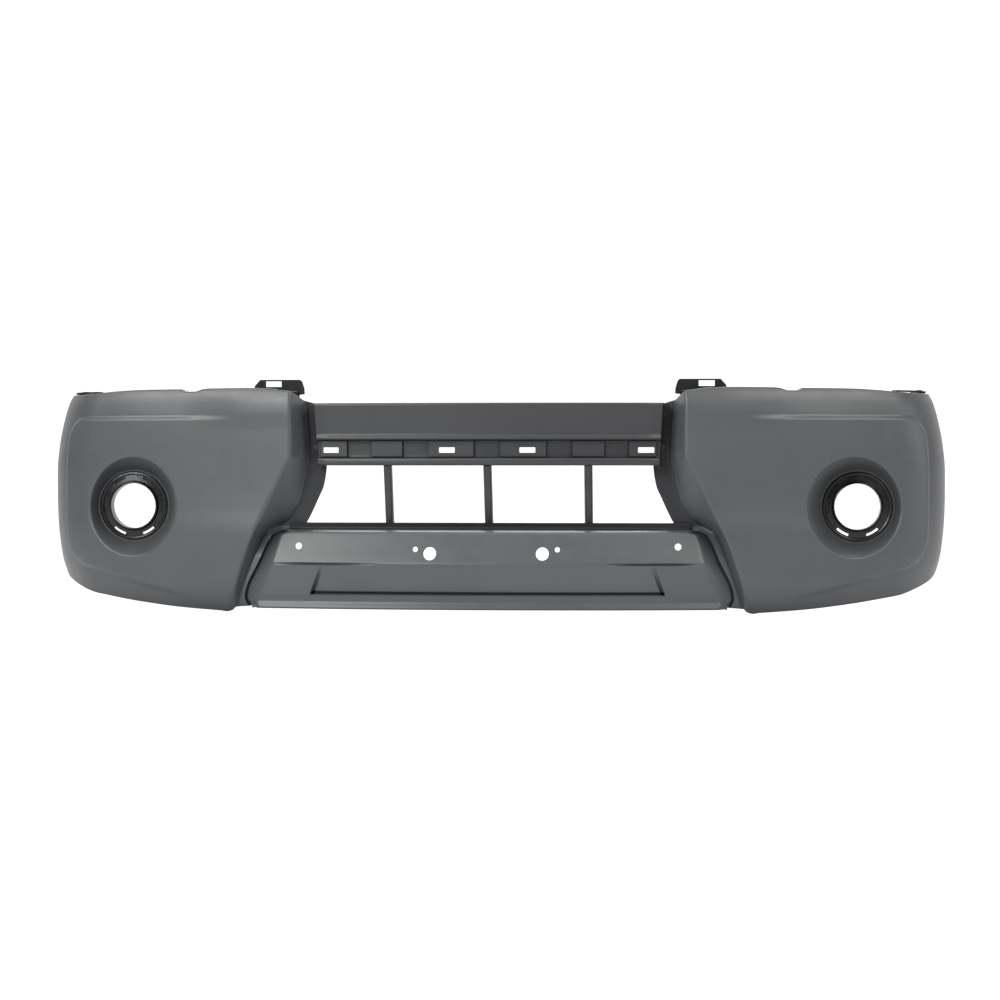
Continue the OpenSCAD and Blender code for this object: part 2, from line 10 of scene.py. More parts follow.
import bmesh
import bpy
import numpy as np
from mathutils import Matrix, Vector


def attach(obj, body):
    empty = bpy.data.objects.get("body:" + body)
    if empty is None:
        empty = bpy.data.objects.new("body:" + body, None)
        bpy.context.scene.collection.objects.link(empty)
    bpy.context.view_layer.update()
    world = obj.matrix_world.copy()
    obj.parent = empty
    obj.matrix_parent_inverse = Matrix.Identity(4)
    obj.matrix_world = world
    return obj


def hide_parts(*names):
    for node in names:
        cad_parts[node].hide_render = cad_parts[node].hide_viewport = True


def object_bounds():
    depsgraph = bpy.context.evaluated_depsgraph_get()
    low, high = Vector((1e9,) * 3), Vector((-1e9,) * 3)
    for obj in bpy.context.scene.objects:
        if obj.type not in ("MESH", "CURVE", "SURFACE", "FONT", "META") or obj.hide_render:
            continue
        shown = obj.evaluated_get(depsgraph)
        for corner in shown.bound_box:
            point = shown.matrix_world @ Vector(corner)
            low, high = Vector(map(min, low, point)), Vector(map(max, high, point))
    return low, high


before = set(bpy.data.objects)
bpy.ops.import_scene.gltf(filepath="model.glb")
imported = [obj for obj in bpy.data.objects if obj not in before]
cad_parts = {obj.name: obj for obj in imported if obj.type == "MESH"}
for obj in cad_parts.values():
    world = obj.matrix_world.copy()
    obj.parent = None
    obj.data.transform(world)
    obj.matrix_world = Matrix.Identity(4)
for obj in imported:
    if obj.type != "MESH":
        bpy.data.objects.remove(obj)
CAD_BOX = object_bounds()
MM = 0.001

# ---- driving sizes, the same as in the CAD ----
HALF_W = 900.0
SWEEP_R = 2600.0
CORNER_R = 150.0
WALL_T = 3.0
FOG = (718.0, 205.0)
SEAT_D = 150.0
ARCH_D, ARCH_Z, ARCH_R = 760.0, 90.0, 430.0
ARCH_FLANGE = 16.0
# The foremost point of the CAD frame is depth 0.5, on the apron's lip
DEPTH_MID = -CAD_BOX[0].y / MM + 0.5


# ---- small maths ----
TINY = 1e-6
# Most of a run's length that the rounding of one of its corners may take
SOFT_SHARE, ROUND_SHARE = 0.42, 0.45


def ramp(v, a, b):
    return min(1.0, max(0.0, (v - a) / (b - a)))


def ease(v):
    c = min(1.0, max(0.0, v))
    return c * c * (3 - 2 * c)


def mix(a, b, f):
    return a + (b - a) * f


def unit(v):
    return v / np.linalg.norm(v)


def sweep(x):
    """Depth of the front's wide arc at x."""
    return SWEEP_R - math.sqrt(SWEEP_R * SWEEP_R - x * x)


class Curve:
    """Smooth monotone curve through (x, value) pairs."""

    def __init__(self, pairs):
        self.x = [p[0] for p in pairs]
        self.v = [p[1] for p in pairs]
        secants = [(self.v[k + 1] - self.v[k]) / (self.x[k + 1] - self.x[k]) for k in range(len(pairs) - 1)]
        self.m = [secants[0]]
        for a, b in zip(secants, secants[1:]):
            self.m.append(0.0 if a * b <= 0 else 2 * a * b / (a + b))
        self.m.append(secants[-1])

    def __call__(self, x):
        if x <= self.x[0]:
            return self.v[0]
        if x >= self.x[-1]:
            return self.v[-1]
        k = np.searchsorted(self.x, x, side="right") - 1
        h = self.x[k + 1] - self.x[k]
        s = (x - self.x[k]) / h
        t = 1 - s
        ends = self.v[k] * (1 + 2 * s) * t * t + self.v[k + 1] * s * s * (3 - 2 * s)
        return ends + h * s * t * (self.m[k] * t - self.m[k + 1] * s)


def bezier(a, b, c, s):
    return a * (1 - s) ** 2 + b * 2 * s * (1 - s) + c * s * s


def corner_ends(a, b, c, r, share):
    """Points r before and after the corner b, but no further than that share of the way to a and to c."""
    la, lc = np.linalg.norm((a - b)[:2]), np.linalg.norm((c - b)[:2])
    start = b + (a - b) * min(share, r / max(la, TINY))
    end = b + (c - b) * min(share, r / max(lc, TINY))
    return start, end


def soft_path(points, r, steps):
    """Open polyline with its corners rounded by r; after its place, a point may carry more values."""
    pts = [np.array(p, float) for p in points]
    out = [pts[0]]
    for a, b, c in zip(pts, pts[1:], pts[2:]):
        start, end = corner_ends(a, b, c, r, SOFT_SHARE)
        out += [bezier(start, b, end, k / steps) for k in range(steps + 1)]
    return out + [pts[-1]]


def round_line(points, radii, runs, steps):
    """Samples a polyline with its corners rounded by radii; runs gives the pieces of each straight run."""
    pts = [np.array(p, float) for p in points]
    cuts = [(pts[0], pts[0], pts[0])]
    for a, b, c, r in zip(pts, pts[1:], pts[2:], radii):
        start, end = corner_ends(a, b, c, r, ROUND_SHARE)
        cuts.append((start, b, end))
    cuts.append((pts[-1], pts[-1], pts[-1]))
    out = [pts[0]]
    for k, n in enumerate(runs):
        start, end = cuts[k][2], cuts[k + 1][0]
        out += [mix(start, end, s / n) for s in range(1, n + 1)]
        if k + 2 < len(cuts):
            out += [bezier(*cuts[k + 1], s / steps) for s in range(1, steps + 1)]
    return out


def spaced(stops):
    """Values that run through (value, steps to the next) stops."""
    out = []
    for (a, n), (b, _) in zip(stops, stops[1:]):
        out += [a + (b - a) * k / n for k in range(n)]
    return out + [stops[-1][0]]


# ---- plan of the front: q is x across the front, arc length round the corner and depth along the side ----
CORNER_X = (HALF_W - CORNER_R) / (1 - CORNER_R / SWEEP_R)
CORNER_A = math.asin(CORNER_X / SWEEP_R)
CORNER_CX = HALF_W - CORNER_R
CORNER_CD = sweep(CORNER_X) + CORNER_R * math.cos(CORNER_A)
SIDE_Q = CORNER_X + CORNER_R * (math.pi / 2 - CORNER_A)


def plan(q):
    """Place (x, depth) and heading of the plan at q."""
    if q <= CORNER_X:
        return q, sweep(q), math.asin(q / SWEEP_R)
    if q <= SIDE_Q:
        a = CORNER_A + (q - CORNER_X) / CORNER_R
        return CORNER_CX + CORNER_R * math.sin(a), CORNER_CD - CORNER_R * math.cos(a), a
    return HALF_W, CORNER_CD + q - SIDE_Q, math.pi / 2


def plan_normal(q):
    """Unit normal of the plan at q, into the bumper."""
    a = plan(q)[2]
    return np.array([-math.sin(a), math.cos(a)])


def q_of_x(x):
    """The q of an x on the front or round the corner."""
    if x <= CORNER_X:
        return x
    return CORNER_X + CORNER_R * (math.asin((x - CORNER_CX) / CORNER_R) - CORNER_A)


# ---- wing design curves ----
# Inset of the face from the plan by height, across the front and round the side
FRONT_INSET = Curve([(0, 12), (12, 5), (30, 0), (70, -5), (150, -5), (205, -1), (260, 1), (330, 2),
                     (379, 4), (405, 8.5), (425, 14.5), (437, 21)])
SIDE_INSET = Curve([(0, 34), (40, 28), (67, 20), (96, 11), (126, 6), (175, 1.5), (224, 0), (273, 0),
                    (322, 4), (371, 13), (410, 24), (430, 34)])
FRONT_TO_SIDE_Q = (700, 900)
# The face's top leans back less towards the crease
LEAN_CUT, LEAN_CUT_Z, LEAN_CUT_Q = 7, (350, 425), (640, 470)
# Where the floor meets the return wall, where the floor ends and how deep it lies, by height
FOOT_X = Curve([(0, 489), (28, 483), (106, 458), (150, 439), (165, 420), (180, 398), (198, 384), (219, 372),
                (249, 364), (284, 357), (300, 353), (420, 360)])
FLOOR_END_X = Curve([(0, 452), (28, 443), (106, 410), (150, 378), (175, 359), (198, 347), (219, 337.5),
                     (249, 325), (287, 320), (296, 322), (304, 329), (330, 329), (342, 325),
                     (420, 322)])
FLOOR_DEPTH = Curve([(0, 67), (30, 61), (106, 68), (150, 86), (180, 92), (220, 93), (290, 92), (330, 86),
                     (420, 84)])
# Heights of the lower and the upper edge by q
HEM_Z = Curve([(500, 0), (620, 8), (684, 15), (762, 26), (810, 33), (848, 41), (890, 50), (985, 75),
               (1048, 95)])
TOP_Z = Curve([(388, 432), (440, 436), (480, 437), (540, 437), (566, 436.5), (578, 431), (602, 431),
               (614, 436), (700, 435.5), (760, 433), (800, 430), (850, 428)])
# The plateau stands proud of the wing's border. Its low edge rises from (q, z) by a slope
PLATEAU_H, SHOULDER_W = 5.0, 11.0
PLATEAU_TOP, PLATEAU_SIDE = 379.0, 866.0
LOW_EDGE, LOW_SLOPE, LOW_COS = (641, 42), 0.26, 0.968
TOP_CORNER_R, LOW_CORNER_R = 42, 46
# It gets bolder from the belt down to BOLD_Z, and its shoulder fades out towards the crease
BELT_Z, BOLD_Z, BOLDER = 230, 120, 0.5
FADE_ABOVE, FADE_BELOW = (470, 610), (560, 700)
# The crease between the face and the return wall, seen from the front
CREASE_X, CREASE_Z, CREASE_SLOPE, CREASE_BEND = 381, 300, 0.577, 0.00055


def inside(a, b, r):
    """Distance inside two edges whose shared corner is rounded by r."""
    if a < r and b < r:
        return r - math.hypot(r - a, r - b)
    return min(a, b)


def plateau(q, z):
    """How far the face stands proud at (q, z)."""
    low = (z - LOW_EDGE[1] - LOW_SLOPE * (q - LOW_EDGE[0])) * LOW_COS
    depth_in = inside(inside(PLATEAU_TOP - z, PLATEAU_SIDE - q, TOP_CORNER_R), low, LOW_CORNER_R)
    fade = ease(ramp(q, *(FADE_ABOVE if z > BELT_Z else FADE_BELOW)))
    height = PLATEAU_H * (1 + BOLDER * ramp(z, BELT_Z, BOLD_Z))
    return height * (1 - (1 - ease(0.5 + depth_in / SHOULDER_W)) * fade)


def skin(q, z):
    """Plan point of the face at (q, z)."""
    x, d, _ = plan(q)
    inset = mix(FRONT_INSET(z), SIDE_INSET(z), ease(ramp(q, *FRONT_TO_SIDE_Q)))
    inset -= LEAN_CUT * ease(ramp(z, *LEAN_CUT_Z)) * ease(ramp(q, *LEAN_CUT_Q))
    return np.array([x, d]) + plan_normal(q) * (inset - plateau(q, z))


def crease_x(z):
    """The crease is upright above CREASE_Z and runs outward below it."""
    t = max(0.0, CREASE_Z - z)
    return CREASE_X + CREASE_SLOPE * t - CREASE_BEND * t * t


def arch_q(z):
    """Where the wheel arch cuts the side at a height."""
    return SIDE_Q + ARCH_D - math.sqrt(ARCH_R ** 2 - (z - ARCH_Z) ** 2) - CORNER_CD


# ---- wing grid: i runs from the floor to the wheel arch, j from the hem flange to the top flange ----
# First columns after the floor: foot's rounding, return wall, crease's rounding, face, lamp block, corner,
# side and arch flange, whose lip is the last column
FOOT_I, WALL_I, CREASE_I, FACE_I, BLOCK_I0, BLOCK_I1, SIDE_I, ARCH_I, LIP_I = 2, 4, 6, 8, 12, 30, 38, 41, 43
# First rows after the hem flange: hem's rounding, face below the lamp block, face beside it, face above it,
# top's rounding and top flange
HEM_J, FACE_J0, BLOCK_J0, BLOCK_J1, FACE_J1, TOP_J = 1, 3, 6, 24, 31, 33
# The lamp block has HALF_BLOCK square rings of cells round the lamp, of these half sizes in millimetres
MID_I, MID_J, HALF_BLOCK = 21, 15, 9
BLOCK, BLOCK_IN = 114.0, 124.0
# Heights of the hem and of the top edge on the columns of the floor, the wall and the crease
INNER_HEM = [11, 11, 11, 10, 9, 6, 3, 1, 0]
INNER_TOP = [404, 405, 410, 412, 414, 422, 428, 430, 431]
# Columns between the crease and the lamp block, columns round the corner and rows above the lamp block
FACE_STEPS = [0, 0.15, 0.42, 0.7, 1]
RIDGE_Q = [836, 845, 856, 867, 880, 905, 931, 958, 985]
TOP_STEPS = [0, 20, 42, 50, 58, 66, 85, 106]
# Rows round the plateau's top edge, and how far the block's lowest row climbs towards the arch
PLATEAU_J0, PLATEAU_J1 = 25.5, 29
SIDE_LIFT = 50
# Roundings of the wall's foot, of the crease and of the hem and top edge; the first two take a share of the
# wall at most, and the crease's aims at the face CREASE_REACH further out
FOOT_R, CREASE_R, EDGE_R = 8, 7, 3.0
WALL_SHARE, CREASE_REACH = 0.4, 30
# Heights at which a column's q stands for its hem, for its middle and for its top
HEM_AT_Z, MID_AT_Z, TOP_AT_Z = 95, 200, 430
# Widths of the edge's short lip inside the crease and of the flanges
SHORT_LIP, HEM_FLANGE, TOP_FLANGE, SIDE_FLANGE, ARCH_LIP = 3.2, 16, 18, 26, 3.0
# Plan directions of the flange on the columns inside the crease
FLANGE_TURN = [(0, (0, 1)), (2, (0.25, 0.97)), (3.5, (0.7, 0.7)), (5, (1, 0.1)), (7.5, (0.64, 0.77))]
# The strip beside the apron: its rise, its edge out from the apron's end, its corner, the heights over which
# it fades in, and the groove before it
STRIP_RISE, STRIP_EDGE, STRIP_R, STRIP_Z = 9.0, 5, 3, (166, 150)
GROOVE_X, GROOVE_D = 3, 1


def col_q(i, z):
    """Place of a face column along the plan at a height."""
    if i < BLOCK_I0:
        share = np.interp(i, range(FACE_I, BLOCK_I0 + 1), FACE_STEPS)
        return mix(crease_x(z) + CREASE_R, FOG[0] - BLOCK_IN, share)
    if i <= BLOCK_I1:
        return q_of_x(FOG[0] + (i - MID_I) * (BLOCK if i > MID_I else BLOCK_IN) / HALF_BLOCK)
    if i < SIDE_I:
        return float(np.interp(i, range(BLOCK_I1, SIDE_I + 1), RIDGE_Q))
    return mix(SIDE_Q, arch_q(z), min(1.0, (i - SIDE_I) / (ARCH_I - SIDE_I)))


def raised_strip(z, i, f, w, w1):
    """Plan path beside the apron, for i from 0 to 4: a groove along the apron's end, then a raised strip."""
    rise = np.array([0.0, -STRIP_RISE])
    groove = np.array([FACET_OUT(z) + GROOVE_X, f[1] + GROOVE_D])
    edge = np.array([FACET_OUT(z) + STRIP_EDGE, f[1]]) + rise
    corner = w + rise
    before = corner + STRIP_R * unit(edge - corner)
    if i <= 2:
        return mix(f, groove, i) if i <= 1 else mix(groove, edge, i - 1)
    return mix(edge, before, i - 2) if i <= 3 else bezier(before, corner, w1, i - 3)


def wall_path(i, z):
    """Plan point on the floor, the return wall and the rounded crease, for i from 0 to 8."""
    depth = FLOOR_DEPTH(z)
    f = np.array([FLOOR_END_X(z), depth])
    w = np.array([FOOT_X(z), depth])
    c = skin(crease_x(z), z)
    g = skin(crease_x(z) + CREASE_REACH, z)
    most = np.linalg.norm(c - w) * WALL_SHARE
    r1, r2 = min(FOOT_R, most), min(CREASE_R, most)
    w0, w1 = w + r1 * unit(f - w), w + r1 * unit(c - w)
    c0, c1 = c + r2 * unit(w - c), c + r2 * unit(g - c)
    if i <= WALL_I:
        plain = mix(f, w0, i / 2) if i <= FOOT_I else bezier(w0, w, w1, (i - FOOT_I) / 2)
        return mix(plain, raised_strip(z, i, f, w, w1), ramp(z, *STRIP_Z))
    if i <= CREASE_I:
        return mix(w1, c0, (i - WALL_I) / 2)
    return bezier(c0, c, c1, (i - CREASE_I) / 2)


def plan_point(i, z):
    if i <= FACE_I:
        return wall_path(i, z)
    return skin(col_q(min(i, ARCH_I), z), z)


def col_ends(i):
    """Heights of the hem and of the top edge on a column."""
    if i <= FACE_I:
        inner = range(FACE_I + 1)
        return float(np.interp(i, inner, INNER_HEM)), float(np.interp(i, inner, INNER_TOP))
    c = min(i, ARCH_I)
    hem, top = HEM_Z(col_q(c, 0 if c < BLOCK_I0 else HEM_AT_Z)), TOP_Z(col_q(c, TOP_AT_Z))
    f = ramp(i, FACE_I, FACE_I + 1)
    return mix(INNER_HEM[-1], hem, f), mix(INNER_TOP[-1], top, f)


def flange_dir(i):
    """Plan direction of the flanges on a column: on the face it's the plan's own normal."""
    first = FACE_I + 1
    if i >= first:
        return plan_normal(col_q(min(i, ARCH_I), MID_AT_Z))
    stops = FLANGE_TURN + [(first, tuple(plan_normal(col_q(first, MID_AT_Z))))]
    xs = [s[0] for s in stops]
    return unit(np.array([np.interp(i, xs, [s[1][k] for s in stops]) for k in (0, 1)]))


def edge_point(i, z_edge, z_in, full, s):
    """Rounded edge and flange: s is 0 on the skin, 1 at the rounding's end and 2 at the flange's lip."""
    n = flange_dir(i)
    p0, p1 = plan_point(i, z_in), plan_point(i, z_edge)
    a, b = np.append(p0, z_in), np.append(p1, z_edge)
    c = np.append(p1 + n * EDGE_R, z_edge)
    if s <= 1:
        return bezier(a, b, c, s)
    return np.append(p1 + n * mix(EDGE_R, full, s - 1), z_edge)


def arch_turn(i, j):
    """Shift of the last columns: they turn inward as the arch flange, and run on rearward at hem and top."""
    w = ramp(j, FACE_J0 - 1, FACE_J0 + 1) * ramp(j, FACE_J1 + 1, FACE_J1 - 0.5)
    s = max(0.0, i - ARCH_I) / (LIP_I - ARCH_I)
    back = mix(0.0, ARCH_LIP, s) * (1 - w)
    inward = w * mix(0.0, ARCH_FLANGE, s)
    return np.array([-inward, back, 0.0])


# ---- lamp block: square rings of cells become the seat, the bowl's wall, its rounded rim and the face ----
HOLE_RING, SEAT_RING, TOP_RING, RIM_RING = 4, 5, 6, 8
SEAT_HOLE_R, SEAT_R = 69, 72
FOOT_SHARE, FOOT_STEP = 0.06, 0.1
RIM, RIM_HALF = (FOG[0] - 12, FOG[1]), (90.0, 95.0)
RIM_DEEP, RIM_BEND, RIM_OUT = 7, 1.5, 6


def ring_angle(di, dj):
    """Angle round the lamp of a cell corner on its square ring."""
    if abs(di) >= abs(dj):
        if di == 0:
            return 0.0
        return math.radians((45 * dj / di) if di > 0 else (180 + 45 * dj / di))
    return math.radians((90 - 45 * di / dj) if dj > 0 else (270 - 45 * di / dj))


def bowl_point(di, dj):
    """Point of the lamp block, di and dj cells away from the lamp's axis."""
    ring, a = max(abs(di), abs(dj)), ring_angle(di, dj)
    turn = np.array([math.cos(a), math.sin(a)])
    rim, half = np.array(RIM), np.array(RIM_HALF)

    def at(x, z, deeper=0.0):
        p = skin(q_of_x(x), z)
        return np.array([p[0], p[1] + deeper, z])

    def on_face(grow, deeper):
        return at(*(rim + (half + grow) * turn), deeper)

    def on_seat(r):
        x, z = np.array(FOG) + r * turn
        return np.array([x, SEAT_D, z])

    if ring <= SEAT_RING:
        return on_seat(mix(SEAT_HOLE_R, SEAT_R, ring - HOLE_RING))
    foot, top = on_seat(SEAT_R), on_face(0, RIM_DEEP)
    if ring <= TOP_RING:
        near_foot = foot + (top - foot) * FOOT_SHARE
        s = ring - SEAT_RING
        return mix(near_foot, top, s) if s > FOOT_STEP else mix(foot, near_foot, s / FOOT_STEP)
    if ring <= RIM_RING:
        return bezier(top, on_face(RIM_BEND, 0), on_face(RIM_OUT, 0), (ring - TOP_RING) / 2)
    around = rim + (half + RIM_OUT) * turn
    size = np.array([BLOCK if di > 0 else BLOCK_IN, BLOCK])
    edge = np.array(FOG) + size * np.array([di, dj]) / HALF_BLOCK
    return at(*mix(around, edge, ring - RIM_RING))


def wing_point(i, j):
    di, dj = i - MID_I, j - MID_J
    if max(abs(di), abs(dj)) < HALF_BLOCK:
        return bowl_point(di, dj)
    low, high = col_ends(i)
    base = FOG[1] - BLOCK + SIDE_LIFT * ramp(i, BLOCK_I1, ARCH_I)
    crown = FOG[1] + BLOCK
    past_crease = ramp(i, FACE_I - 1, FACE_I + 2)
    if j < FACE_J0:
        full = mix(SHORT_LIP, HEM_FLANGE, past_crease)
        s = (FACE_J0 - j) / 2 if j >= HEM_J else 2 - j
        p = edge_point(i, low, low + EDGE_R, full, s)
    elif j > FACE_J1:
        full = mix(SHORT_LIP, SIDE_FLANGE if i > SIDE_I else TOP_FLANGE, past_crease)
        s = (j - FACE_J1) / 2 if j <= TOP_J else j - TOP_J + 1
        p = edge_point(i, high, high - EDGE_R, full, s)
    else:
        if j < BLOCK_J0:
            z = mix(low + EDGE_R, base, (j - FACE_J0) / (BLOCK_J0 - FACE_J0))
        elif j <= BLOCK_J1:
            z = mix(base, crown, (j - BLOCK_J0) / (BLOCK_J1 - BLOCK_J0))
        else:
            climb = np.interp(j, range(BLOCK_J1, FACE_J1 + 1), TOP_STEPS) / TOP_STEPS[-1]
            z = mix(crown, high - EDGE_R, climb)
        p = np.append(plan_point(i, z), z)
    return p + arch_turn(i, j)


# ---- upper beam: section from the rear edge of the lower lip up to the top return, as (depth, height) ----
BEAM_ROWS = [(76, 286.5), (50, 285.5), (33, 285.5), (29.5, 288), (29, 293), (29.5, 298), (32, 300.5),
             (42, 301), (44, 303), (44.3, 312), (44.3, 326), (44, 332), (42, 334), (32, 334.5), (28, 336),
             (26.5, 339), (28.5, 342.5), (30.5, 346), (28.5, 365), (26, 390), (24.5, 403), (26, 406),
             (29, 407), (40, 407), (54, 406.5)]
BEAM_Z = (286.0, 407.0)
# At each end the face folds and runs back towards BEAM_BACK; places of the fold and of the end, low and high
BEAM_FOLD, BEAM_END, BEAM_BACK = (317, 313), (334, 340.6), 60
# A row's room is a share of its way to BEAM_BACK; the slope and the end each run back by a part of it, but
# no more than their most
ROOM_SHARE, SLOPE_PART, SLOPE_MOST, END_PART, END_MOST = 0.4, 0.3, 4, 1.7, 24
# The lower lip's rear edge is tucked forward at the ends
LIP_TUCK, LIP_TUCK_X = 22, (240, 300)
PAD_SPANS = [(26, 114), (165, 226), (274, 326)]
PAD_Z, PAD_DEPTH, PAD_CORNER_R = (302.5, 333.5), (38.5, 46), 1.0
SLOT_X = [78, 306.5]
SLOT_SIZE, SLOT_CORNER_R = (31.0, 10.5), 1.2
SLOT_Z, SLOT_CUT = 315.5, (30, 92)


def beam_plan(row):
    """One half of the beam in plan on a row (depth, height, row number), out to its turned end."""
    own, z, j = row
    f = ramp(z, *BEAM_Z)
    fold, end = mix(*BEAM_FOLD, f), mix(*BEAM_END, f)
    room = ROOM_SHARE * (BEAM_BACK - own)
    near, far = min(SLOPE_MOST, SLOPE_PART * room), min(END_MOST, END_PART * room)
    line = [(0, 0), (fold + 1, 0), (end - 1, near), (end, near + far)]
    out = []
    for x, back in round_line(line, radii=[6, 2.5], runs=[36, 7, 4], steps=6):
        tuck = LIP_TUCK * ramp(x, *LIP_TUCK_X) * max(0.0, 1 - j)
        out.append(np.array([x, own - tuck + back + sweep(x), z]))
    return out


# ---- lower apron: section from the hem over the tray, the crease and the plate band to the upstand ----
APRON_ROWS = [(18, 11), (5, 8.5), (1.5, 8), (0.5, 11), (4.5, 20), (5.5, 23), (5, 33), (4.5, 35.5),
              (4.5, 37.5), (4.3, 42), (4, 55), (3.8, 75), (3.5, 91), (3, 94.5), (3, 96.5), (4, 99.5),
              (9, 110), (17, 125), (25, 141), (31, 152.5), (34, 156.5), (38, 158), (68, 160), (79, 161),
              (82, 163.5), (81.8, 167), (80.5, 173.5)]
LIP_ROW, CREASE_ROW, LEDGE_ROW, LEDGE_END_ROW = 3, 13, 21, 24
# Depth of the tray by row as a share of TRAY_T, with a groove round its edge, and its end's place by height
TRAY_T, TRAY_GROOVE = 7.0, 0.7
TRAY_DEPTH = [(7, 0), (7.7, 1.1), (8.1, 1.7), (8.4, 1.6), (8.9, 0.95), (9, 0.93), (10, 0.72), (11, 0.4),
              (12, 0.12), (13, 0)]
TRAY_END, TRAY_Z = (342, 321), (37, 95)
# On each side a shallow lens sinks into the crease above the tray, between these two ramps of x
LENS_DEPTH, LENS_IN, LENS_OUT = 5, (190, 300), (425, 360)
# Where the apron folds and where it ends by height, and both on the ledge
FACET_IN = Curve([(8, 446), (20, 449.5), (47, 438), (77, 426), (103, 415), (150, 404), (158, 385)])
FACET_OUT = Curve([(8, 461), (28, 471), (106, 441), (150, 420), (158, 398)])
LEDGE_FOLD, LEDGE_END = 382, 392
# The apron's end stands this far before the wing's floor at least and is turned back by END_TURN; below the
# lip it drops by END_DROP a row
END_BEFORE, END_TURN, END_DROP = 5, 3.5, 1.2
# Plate holes as (x, z, radius)
PLATE_HOLES = [(368, 129, 6.5), (137, 124, 5.0), (108.5, 116, 12.5)]
PLATE_CUT = (-5, 70)


def apron_plan(row):
    """One half of the apron in plan on a row (depth, height, row number), out to the wing's floor."""
    path_d, path_z, j = row
    base_d, base_z = (path_d, path_z) if j >= LIP_ROW else APRON_ROWS[LIP_ROW]
    top = ramp(j, LEDGE_ROW, LEDGE_END_ROW)
    fold = mix(FACET_IN(base_z), LEDGE_FOLD, top)
    end = mix(FACET_OUT(base_z), LEDGE_END, top)
    t = min(mix(*TRAY_END, ramp(base_z, *TRAY_Z)), fold - 30)
    groove_in, groove_out, step = (t - 6.5, t - 4), (t + 0.5, t - 1), (t + 2.5, t - 1.5)
    rear = ramp(j, LEDGE_ROW, LEDGE_ROW + 1)
    lens_row = ramp(j, CREASE_ROW - 0.5, CREASE_ROW) * ramp(j, CREASE_ROW + 1.5, CREASE_ROW + 1)
    tray_depth = TRAY_T * np.interp(j, *zip(*TRAY_DEPTH))

    def depth(x):
        groove = TRAY_GROOVE * ramp(x, *groove_in) * ramp(x, *groove_out)
        tray = tray_depth * (ease(ramp(x, *step)) + groove)
        lens = LENS_DEPTH * lens_row * ease(ramp(x, *LENS_IN)) * ease(ramp(x, *LENS_OUT))
        return base_d + tray + lens + (1 - rear) * sweep(x)

    seat = depth(end) if j > LEDGE_ROW else max(depth(end), FLOOR_DEPTH(base_z) - END_BEFORE)
    tray_stops = [(0, 34), (groove_in[0], 3), (groove_in[1], 4), (groove_out[1], 6), (step[0], 3)]
    xs = spaced(tray_stops + [(t + 6, 12), (fold - 7, 0)])
    out = [np.array([x, depth(x)]) for x in xs]
    line = [out[-1], (fold, depth(fold)), (end, seat), (end + 0.01, seat + END_TURN)]
    out += round_line(line, radii=[6, 1.5], runs=[2, 6, 2], steps=6)[1:]
    roll_d, roll_z = path_d - base_d, path_z - base_z
    points = []
    for x, d in out:
        f = ramp(x, fold, end)
        drop = mix(roll_z, -END_DROP * max(0.0, LIP_ROW - j), f)
        points.append(np.array([x, d + roll_d * (1 - f), base_z + drop]))
    return points


# ---- tabs and bosses behind the shells, as (x, z) or in the section (depth, z) ----
RING_BOSS_A = {"top": 90, "inner": 210, "outer": 330}
RING_BOSS_AT_R, RING_BOSS_R, RING_BOSS_DEPTH = 89, 5.5, (128, SEAT_D + 3.2)
TAB_SECTION = [(60, 431), (83, 431), (83, 396), (80, 396), (80, 427.5), (79, 428.5), (60, 428.5)]
TAB_X, TAB_RIVETS, TAB_HOLE_R, TAB_CUT = (375, 450), [(395, 411), (434, 411)], 4.1, (75, 90)
BEAM_BOSSES, BEAM_BOSS_R, BEAM_BOSS_D = [(337, 322), (338, 384)], 6, 77
APRON_BOSSES, APRON_BOSS_R, APRON_BOSS_T = [(451, 40), (425, 104), (401, 142)], 5.5, 9
# A boss keeps this gap from the wing's floor behind it, over these heights round its screw
SEAM_GAP, SEAM_STEPS = 0.3, (-6, -3, 0, 3, 6)


def seam_front(z):
    """Depth just in front of the wing's floor round a seam screw."""
    return min(FLOOR_DEPTH(z + t) for t in SEAM_STEPS) - SEAM_GAP


# ---- meshes ----
CORNER_STEPS, CIRCLE_STEPS = 5, 48
SHARP_ANGLE, BEVEL_ANGLE = 40, 38
NO_AREA = 1e-9


def to_row(p):
    """Point (x, depth, z) in millimetres as (x, y, z) in metres."""
    return np.array([p[0], p[1] - DEPTH_MID, p[2]]) * MM


def link(mesh, name):
    obj = bpy.data.objects.new(name, mesh)
    bpy.context.scene.collection.objects.link(obj)
    return obj


def finish_mesh(mesh, sharp=SHARP_ANGLE):
    mesh.polygons.foreach_set("use_smooth", [True] * len(mesh.polygons))
    mesh.set_sharp_from_angle(angle=math.radians(sharp))
    mesh.update()


def new_object(name, verts, faces, sharp=SHARP_ANGLE):
    mesh = bpy.data.meshes.new(name)
    mesh.from_pydata([tuple(v) for v in verts], [], [tuple(f) for f in faces])
    finish_mesh(mesh, sharp)
    return link(mesh, name)


def grid_normals(g):
    """Rearward unit normals of a grid of points g[i, j]."""
    u = np.empty_like(g)
    v = np.empty_like(g)
    u[1:-1], u[0], u[-1] = g[2:] - g[:-2], g[1] - g[0], g[-1] - g[-2]
    v[:, 1:-1], v[:, 0], v[:, -1] = g[:, 2:] - g[:, :-2], g[:, 1] - g[:, 0], g[:, -1] - g[:, -2]
    n = -np.cross(u, v)
    return n / np.maximum(np.linalg.norm(n, axis=2, keepdims=True), NO_AREA)


